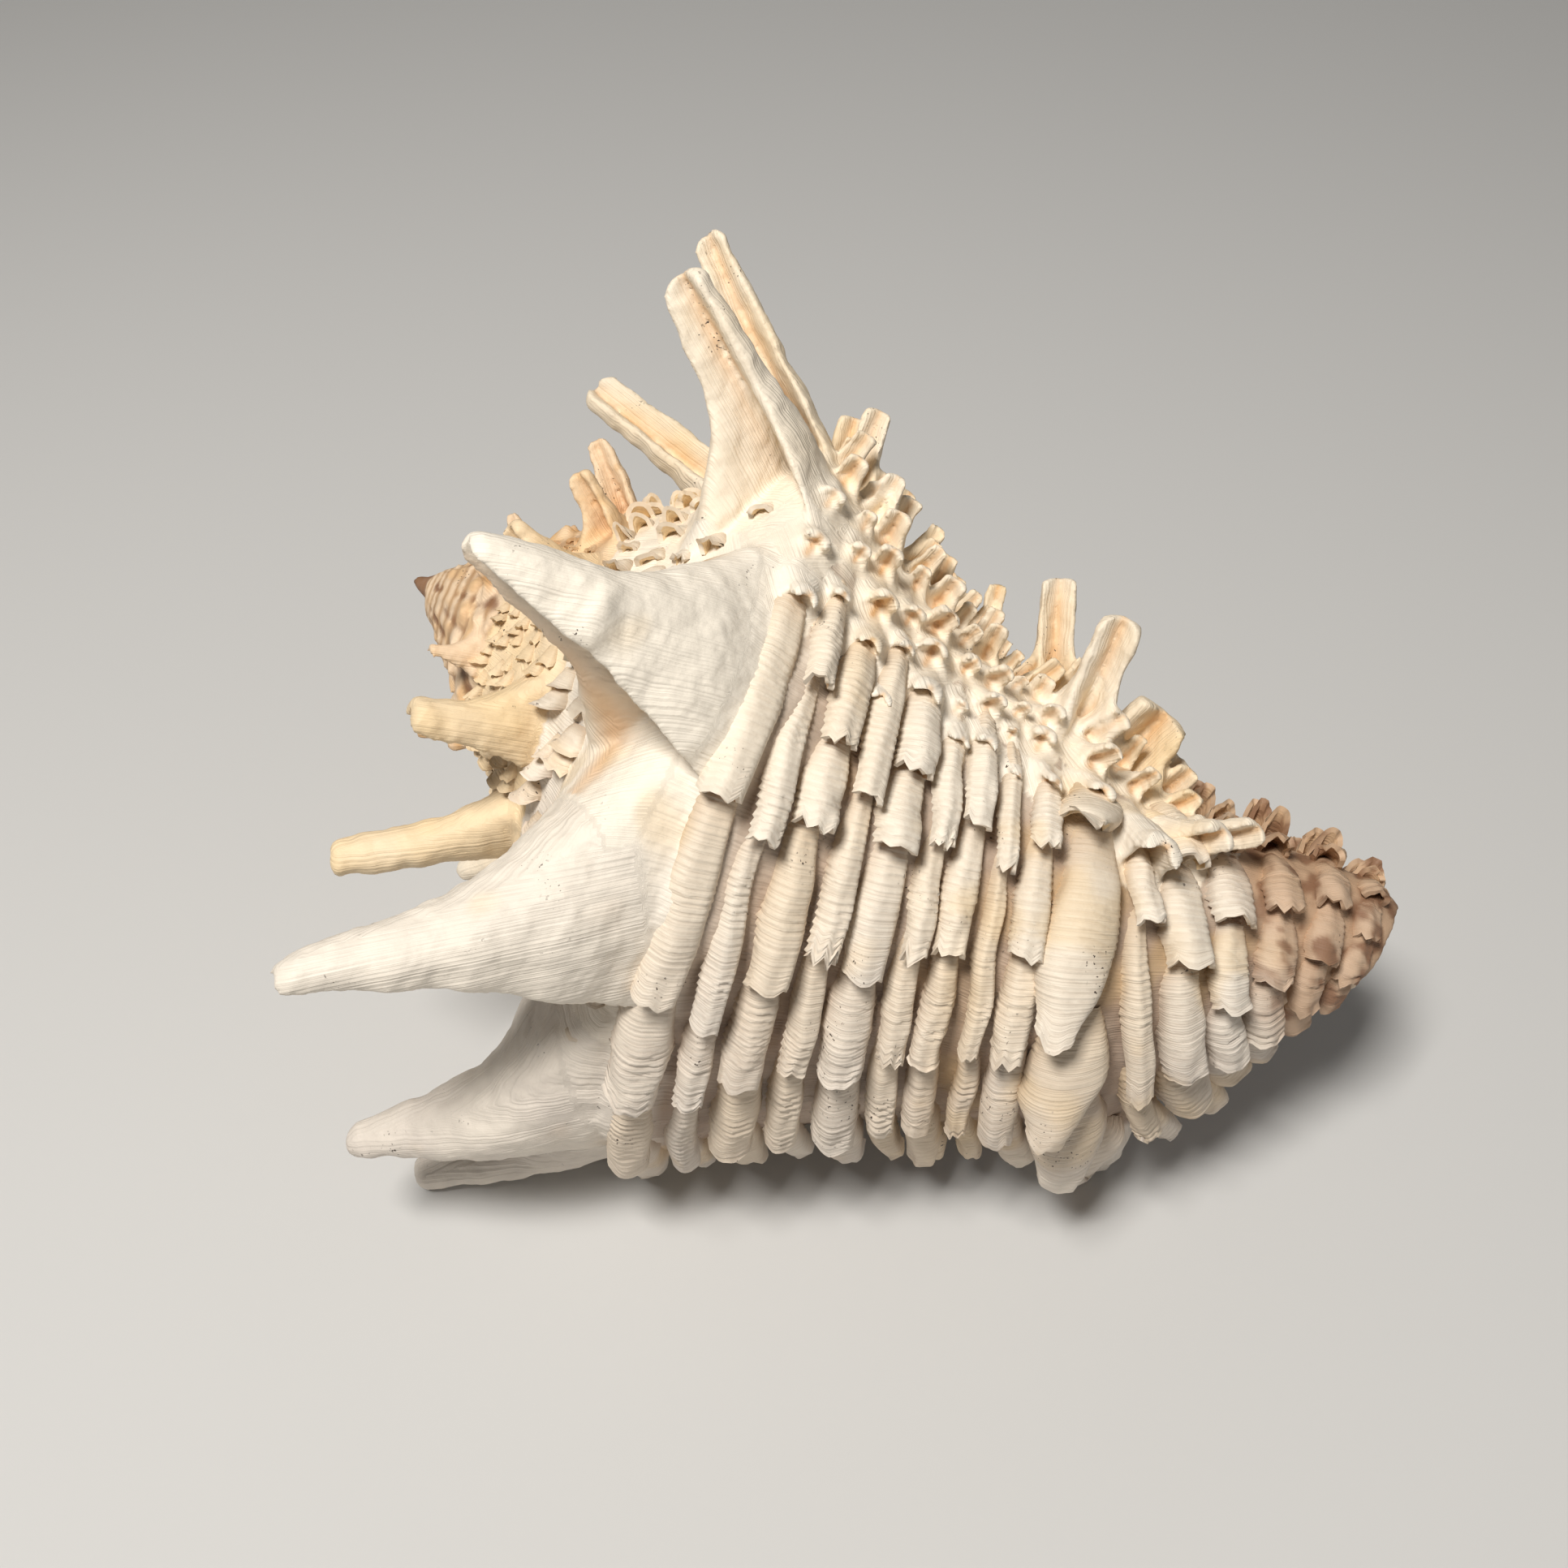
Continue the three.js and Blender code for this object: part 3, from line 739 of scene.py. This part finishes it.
def on_spines(points):
    """What the spines are at each point: groove, place up the spine, line, angle and whiteness."""
    groove, height = np.zeros(len(points)), np.zeros(len(points))
    line, spine_angle = np.zeros(len(points)), np.zeros(len(points))
    white = np.zeros(len(points))
    for spine in ALL_SPINES:
        foot, direction, ahead, across = spine_axis(spine)
        size = float(growth(spine.angle))
        close = np.flatnonzero(np.abs(points - foot).sum(1) < 2 * size * (spine.length + spine.web))
        offset = points[close] - foot
        place = offset @ direction / (spine.length * size)
        half = spine_half_width(spine, place) * size
        bend = spine.bend * size * np.clip(place, 0, None) ** 2
        x = (offset @ across - bend * (outward(spine.angle) @ across)) / half
        side = ahead - direction * (direction @ ahead)
        y = (offset @ side) / half
        near = (place > 0.02) & (place < 1.1) & (np.abs(x) < SPINE_MARGIN) & (np.abs(y) < SPINE_MARGIN)
        if spine.angle == STREAKED:
            x = 1.1 * (x - STREAK_AT)
            y = np.where(np.abs(y) < 1.6, 1.0, y)
        near &= place > height[close]
        on = close[near]
        inner_face = smooth((y + 0.5) / 0.3) * smooth((1.6 - np.abs(y)) / 0.7)
        groove[on] = (bump(x, 0, 0.5) * inner_face * smooth(place / 0.15))[near]
        height[on] = np.clip(place, 0, 1)[near]
        line[on] = (offset @ side + 0.6 * np.abs(x) * half)[near]
        spine_angle[on] = spine.angle
        white[on] = height[on] * smooth((spine.length - 12) / 12)
    return groove, height, line, spine_angle, white


# ---- Paint ----

def linear(colour):
    """Linear values of an sRGB colour."""
    colour = np.asarray(colour, float)
    return np.where(colour <= 0.04045, colour / 12.92, ((colour + 0.055) / 1.055) ** 2.4)


def blend(base, colour, amount):
    """Mixes one sRGB colour into linear base colours, by an amount for every point."""
    amount = np.clip(amount, 0, 1)[:, None]
    return base * (1 - amount) + linear(colour) * amount


def paint(points, angle, along, recess_shade, groove, inside, hollow, up_spine):
    """Colour and roughness of every point, from its place on the shell."""
    patch = noise(points, 14, 11) * 0.6 + noise(points, 5, 12) * 0.4
    fine = noise(points, 1.6, 13)

    # Chalky white, creamier where it is old, high up or by the strong cord, and lilac grey low down as
    # painted shade on the lower side.
    base = np.broadcast_to(linear(CHALK), points.shape).copy()
    old = smooth((-165 - angle) / 30)
    base = blend(base, CREAM, old * (0.75 + 0.3 * patch))
    upper = smooth((70 - angle) / 60) * (1 - old)
    base = blend(base, CREAM, upper * (0.5 + 0.5 * patch) * (1 - 0.4 * up_spine))
    yellow = bump(along, 81.5, 3.5) * smooth((angle - 90) / 30)
    base = blend(base, CREAM, yellow * (0.6 + 0.4 * patch))
    # Painted shade: greyer lilac towards the lower side.
    lower_shade = smooth((angle - 90) / 60)
    base = blend(base, LILAC_SHADE, lower_shade * (0.5 + 0.3 * patch))

    # Painted shade: brown in the gaps between the cords, under the fronds and in the spire's low places.
    # Peach grooves and insides, cream spots.
    base = blend(base, GAP_SHADE, recess_shade * (0.7 + 0.4 * patch))
    base = blend(base, PEACH, groove ** 4 * (0.7 + 0.5 * patch) * (1 - 0.4 * up_spine))
    # Painted light: insides short of angle 85 are cream rather than peach, for light shining through the
    # thin walls.
    painted_glow = smooth((85 - angle) / 20)
    base = blend(base, PEACH, inside * (0.6 + 0.5 * patch) * (1 - painted_glow))
    base = blend(base, CREAM, inside * painted_glow * 0.7)
    spots = smooth((patch - 0.25) * 3) * 0.35
    base = blend(base, CREAM, spots * (1 - 0.5 * up_spine))

    # The mottled brown canal and the banded spire.
    canal = smooth((along - 108 - 0.12 * np.clip(angle, 0, 190)) / 14)
    mottle = smooth((noise(points, 3.0, 21) + 0.6 * noise(points, 1.4, 22) + 0.1) * 1.5)
    base = blend(base, TAN, canal * 0.8)
    base = blend(base, BROWN, canal * mottle * 0.75)
    spire = smooth((-250 - angle) / 130)
    base = blend(base, RUST, spire * (0.6 + 0.3 * patch))
    valley = (0.5 - 0.5 * np.cos(2 * np.pi * (along - SPIRE_KNOB_RINGS[0]) / SPIRE_KNOB_SPACING)) ** 3
    base = blend(base, CHALK, spire * (1 - valley) * 0.35 * (1 - mottle))
    # Brown bands between the knob rows, and painted shade where the spire's wall lies low.
    base = blend(base, BROWN, spire * np.maximum(valley * 0.5, recess_shade))

    base = blend(base, PORCELAIN, hollow)
    base = base * (1 + 0.06 * fine[:, None])
    rough = 0.62 - 0.3 * hollow - 0.08 * up_spine + 0.06 * fine
    return np.clip(base, 0, 1), np.clip(rough, 0.2, 0.9)


def body_paint(points):
    """Colour, roughness and growth line of the points of the body."""
    angle, along, height = spiral_place(points)
    groove, up_spine, spine_line, spine_angle, white = on_spines(points)
    on_spine = up_spine > 0.03
    angle = np.where(on_spine, spine_angle, angle)
    along = np.where(on_spine, SHOULDER, along)
    hollow = smooth((-height - 1.6) / 0.8) * (1 - smooth(up_spine * 8)) * smooth((angle + 200) / 20)
    size = growth(angle)
    # Painted shade: darker where the wall lies low between the cords, and under the fronds.
    recess_shade = (1 - smooth(height / (1.2 * size))) * (1 - smooth(up_spine * 10)) * 0.8
    recess_shade = recess_shade * np.maximum(smooth((along - 50) / 4), smooth((-290 - angle) / 40))
    shade_under_fronds = smooth((angle - 66) / 14) * smooth((along - 53) / 2) * (1 - smooth((height - 2) / 2))
    recess_shade = np.maximum(recess_shade, 0.9 * shade_under_fronds * (1 - on_spine))
    inside = np.zeros(len(points))
    colour, rough = paint(points, angle, along, recess_shade, groove, inside, hollow, white)
    return colour, rough, angle + spine_line / LINES_PER_DEGREE


def sheet_paint(points, value):
    """Colour, roughness and growth line of the points of the fronds and scales."""
    # Painted shade: darker low on the fronds where they meet the wall, inside them, and in the troughs
    # between their ribs.
    low = 1 - smooth(value["lift"] / 0.5)
    recess_shade = np.maximum(low * 0.85, 0.35 * (1 - value["ridge"]) * (value["inside"] < 0.5))
    none = np.zeros(len(points))
    colour, rough = paint(points, value["angle"], value["along"], recess_shade * 0.8, none, value["inside"],
                          none, none)
    warm = (0.4 * value["shade"] ** 2 + 0.2 * (1 - value["tip"])) * (1 - value["inside"])
    colour = blend(colour, WARM, warm * smooth((CHALK_FADE - value["along"]) / 6))
    return colour, rough, value["angle"]


def store(mesh, name, kind, field, values):
    """Keeps a value of every point as an attribute of the mesh."""
    attribute = mesh.attributes.new(name, kind, "POINT")
    attribute.data.foreach_set(field, values)


def build_shell():
    """The body's skin and all the fronds and scales, joined in one painted mesh."""
    body_points, body_faces, normals = body_skin()
    pits = 0.22 * noise(body_points, 2.6, 31) + 0.12 * noise(body_points, 1.1, 32)
    body_points = body_points + normals * pits[:, None]
    sheets = Sheets()
    long_fronds(sheets)
    hoods(sheets)
    old_scales(sheets)
    ramp_frills(sheets)
    sheet_points = np.concatenate(sheets.points)
    value = {name: np.concatenate(column) for name, column in sheets.values.items()}

    painted = zip(body_paint(body_points), sheet_paint(sheet_points, value))
    colour, rough, line = (np.concatenate(pair) for pair in painted)

    points = np.concatenate([body_points, sheet_points])
    quads = np.concatenate(sheets.faces) + len(body_points)
    mesh = bpy.data.meshes.new("vase_shell_fine")
    mesh.from_pydata((points * MM).tolist(), [], body_faces.tolist() + quads.tolist())
    mesh.shade_smooth()
    store(mesh, "tint", "FLOAT_COLOR", "color", np.column_stack([colour, np.ones(len(points))]).ravel())
    store(mesh, "rough", "FLOAT", "value", rough)
    store(mesh, "growth_line", "FLOAT", "value", line * LINES_PER_DEGREE)
    made = bpy.data.objects.new("vase_shell_fine", mesh)
    bpy.context.scene.collection.objects.link(made)
    return made


def shell_material():
    """Chalky shell: painted colour, fine grain, black specks and growth lines as bumps."""
    material = bpy.data.materials.new("chalky_shell")
    material.use_nodes = True
    nodes, links = material.node_tree.nodes, material.node_tree.links
    shader = nodes["Principled BSDF"]
    shader.inputs["Specular IOR Level"].default_value = 0.4
    shader.inputs["Subsurface Weight"].default_value = 0.0

    def attribute(name):
        node = nodes.new("ShaderNodeAttribute")
        node.attribute_name = name
        return node

    coordinates = nodes.new("ShaderNodeTexCoord")

    def grain(scale, detail):
        node = nodes.new("ShaderNodeTexNoise")
        node.inputs["Scale"].default_value = scale
        node.inputs["Detail"].default_value = detail
        links.new(coordinates.outputs["Object"], node.inputs["Vector"])
        return node

    def maths(operation, first, second):
        node = nodes.new("ShaderNodeMath")
        node.operation = operation
        links.new(first, node.inputs[0])
        if isinstance(second, (int, float)):
            node.inputs[1].default_value = second
        else:
            links.new(second, node.inputs[1])
        return node.outputs[0]

    specks = nodes.new("ShaderNodeValToRGB")
    specks.color_ramp.elements[0].position = 0.68
    specks.color_ramp.elements[1].position = 0.71
    links.new(grain(SPECK_SCALE, 1).outputs["Fac"], specks.inputs["Fac"])
    sparse = nodes.new("ShaderNodeValToRGB")
    sparse.color_ramp.elements[0].position = 0.6
    sparse.color_ramp.elements[1].position = 0.68
    links.new(grain(SPECK_PATCH_SCALE, 2).outputs["Fac"], sparse.inputs["Fac"])
    dark = nodes.new("ShaderNodeMix")
    dark.data_type = "RGBA"
    dark.inputs["B"].default_value = SPECK_COLOUR
    links.new(attribute("tint").outputs["Color"], dark.inputs["A"])
    links.new(maths("MULTIPLY", specks.outputs["Color"], sparse.outputs["Color"]), dark.inputs["Factor"])
    links.new(dark.outputs["Result"], shader.inputs["Base Color"])
    links.new(attribute("rough").outputs["Fac"], shader.inputs["Roughness"])

    lines = nodes.new("ShaderNodeTexNoise")
    lines.noise_dimensions = "1D"
    lines.inputs["Scale"].default_value = LINE_SCALE
    lines.inputs["Detail"].default_value = 2.0
    links.new(attribute("growth_line").outputs["Fac"], lines.inputs["W"])
    tall_lines = maths("MULTIPLY", lines.outputs["Fac"], LINE_HEIGHT)
    height = maths("ADD", tall_lines, grain(GRAIN_SCALE, 3).outputs["Fac"])
    bumps = nodes.new("ShaderNodeBump")
    bumps.inputs["Strength"].default_value = BUMP_STRENGTH
    bumps.inputs["Distance"].default_value = BUMP_DISTANCE
    links.new(height, bumps.inputs["Height"])
    links.new(bumps.outputs["Normal"], shader.inputs["Normal"])
    return material


# ---- Stage ----

def flat_material(name, colour, roughness):
    material = bpy.data.materials.new(name)
    material.use_nodes = True
    shader = material.node_tree.nodes["Principled BSDF"]
    shader.inputs["Base Color"].default_value = (*colour, 1)
    shader.inputs["Roughness"].default_value = roughness
    return material


def make_floor():
    mesh = bpy.data.meshes.new("floor")
    side = FLOOR_SIDE
    corners = [(-side, -side, 0), (side, -side, 0), (side, side, 0), (-side, side, 0)]
    mesh.from_pydata(corners, [], [(0, 1, 2, 3)])
    floor = bpy.data.objects.new("floor", mesh)
    bpy.context.scene.collection.objects.link(floor)
    mesh.materials.append(flat_material("pale_floor", FLOOR_COLOUR, FLOOR_ROUGHNESS))


def aim(thing, target):
    """Turns a light to face a point."""
    direction = Vector(target) - thing.location
    thing.rotation_euler = direction.to_track_quat("-Z", "Y").to_euler()


def make_light(name, place, size, power, colour):
    data = bpy.data.lights.new(name, "AREA")
    data.size = size
    data.energy = power
    data.color = colour
    light = bpy.data.objects.new(name, data)
    bpy.context.scene.collection.objects.link(light)
    light.location = place
    aim(light, LIGHT_TARGET)


def make_lights():
    for light in LIGHTS:
        make_light(*light)
    world = bpy.data.worlds.new("studio")
    world.use_nodes = True
    world.node_tree.nodes["Background"].inputs["Color"].default_value = WORLD_COLOUR
    world.node_tree.nodes["Background"].inputs["Strength"].default_value = WORLD_STRENGTH
    bpy.context.scene.world = world
    bpy.context.scene.view_settings.view_transform = "Standard"


def make_camera():
    """A camera at the front, looking down at the shell."""
    data = bpy.data.cameras.new("camera")
    data.lens = LENS
    data.sensor_width = SENSOR
    data.clip_start = 0.01
    camera = bpy.data.objects.new("camera", data)
    bpy.context.scene.collection.objects.link(camera)
    right = np.array((1.0, 0.0, 0.0))
    up = np.array((0.0, math.sin(FRONT_RISE), math.cos(FRONT_RISE)))
    middle = APEX - APEX_IN_VIEW[0] * right - APEX_IN_VIEW[1] * up
    place = middle + CAMERA_DISTANCE * TOWARDS_FRONT
    rows = np.stack([right, up, TOWARDS_FRONT], 1)
    camera.matrix_world = Matrix.Translation(Vector(place * MM)) @ Matrix(rows.tolist()).to_4x4()
    bpy.context.scene.camera = camera


make_camera()
make_floor()
make_lights()
shell = build_shell()
shell.data.materials.append(shell_material())
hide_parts("vase_shell")
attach(shell, "root")
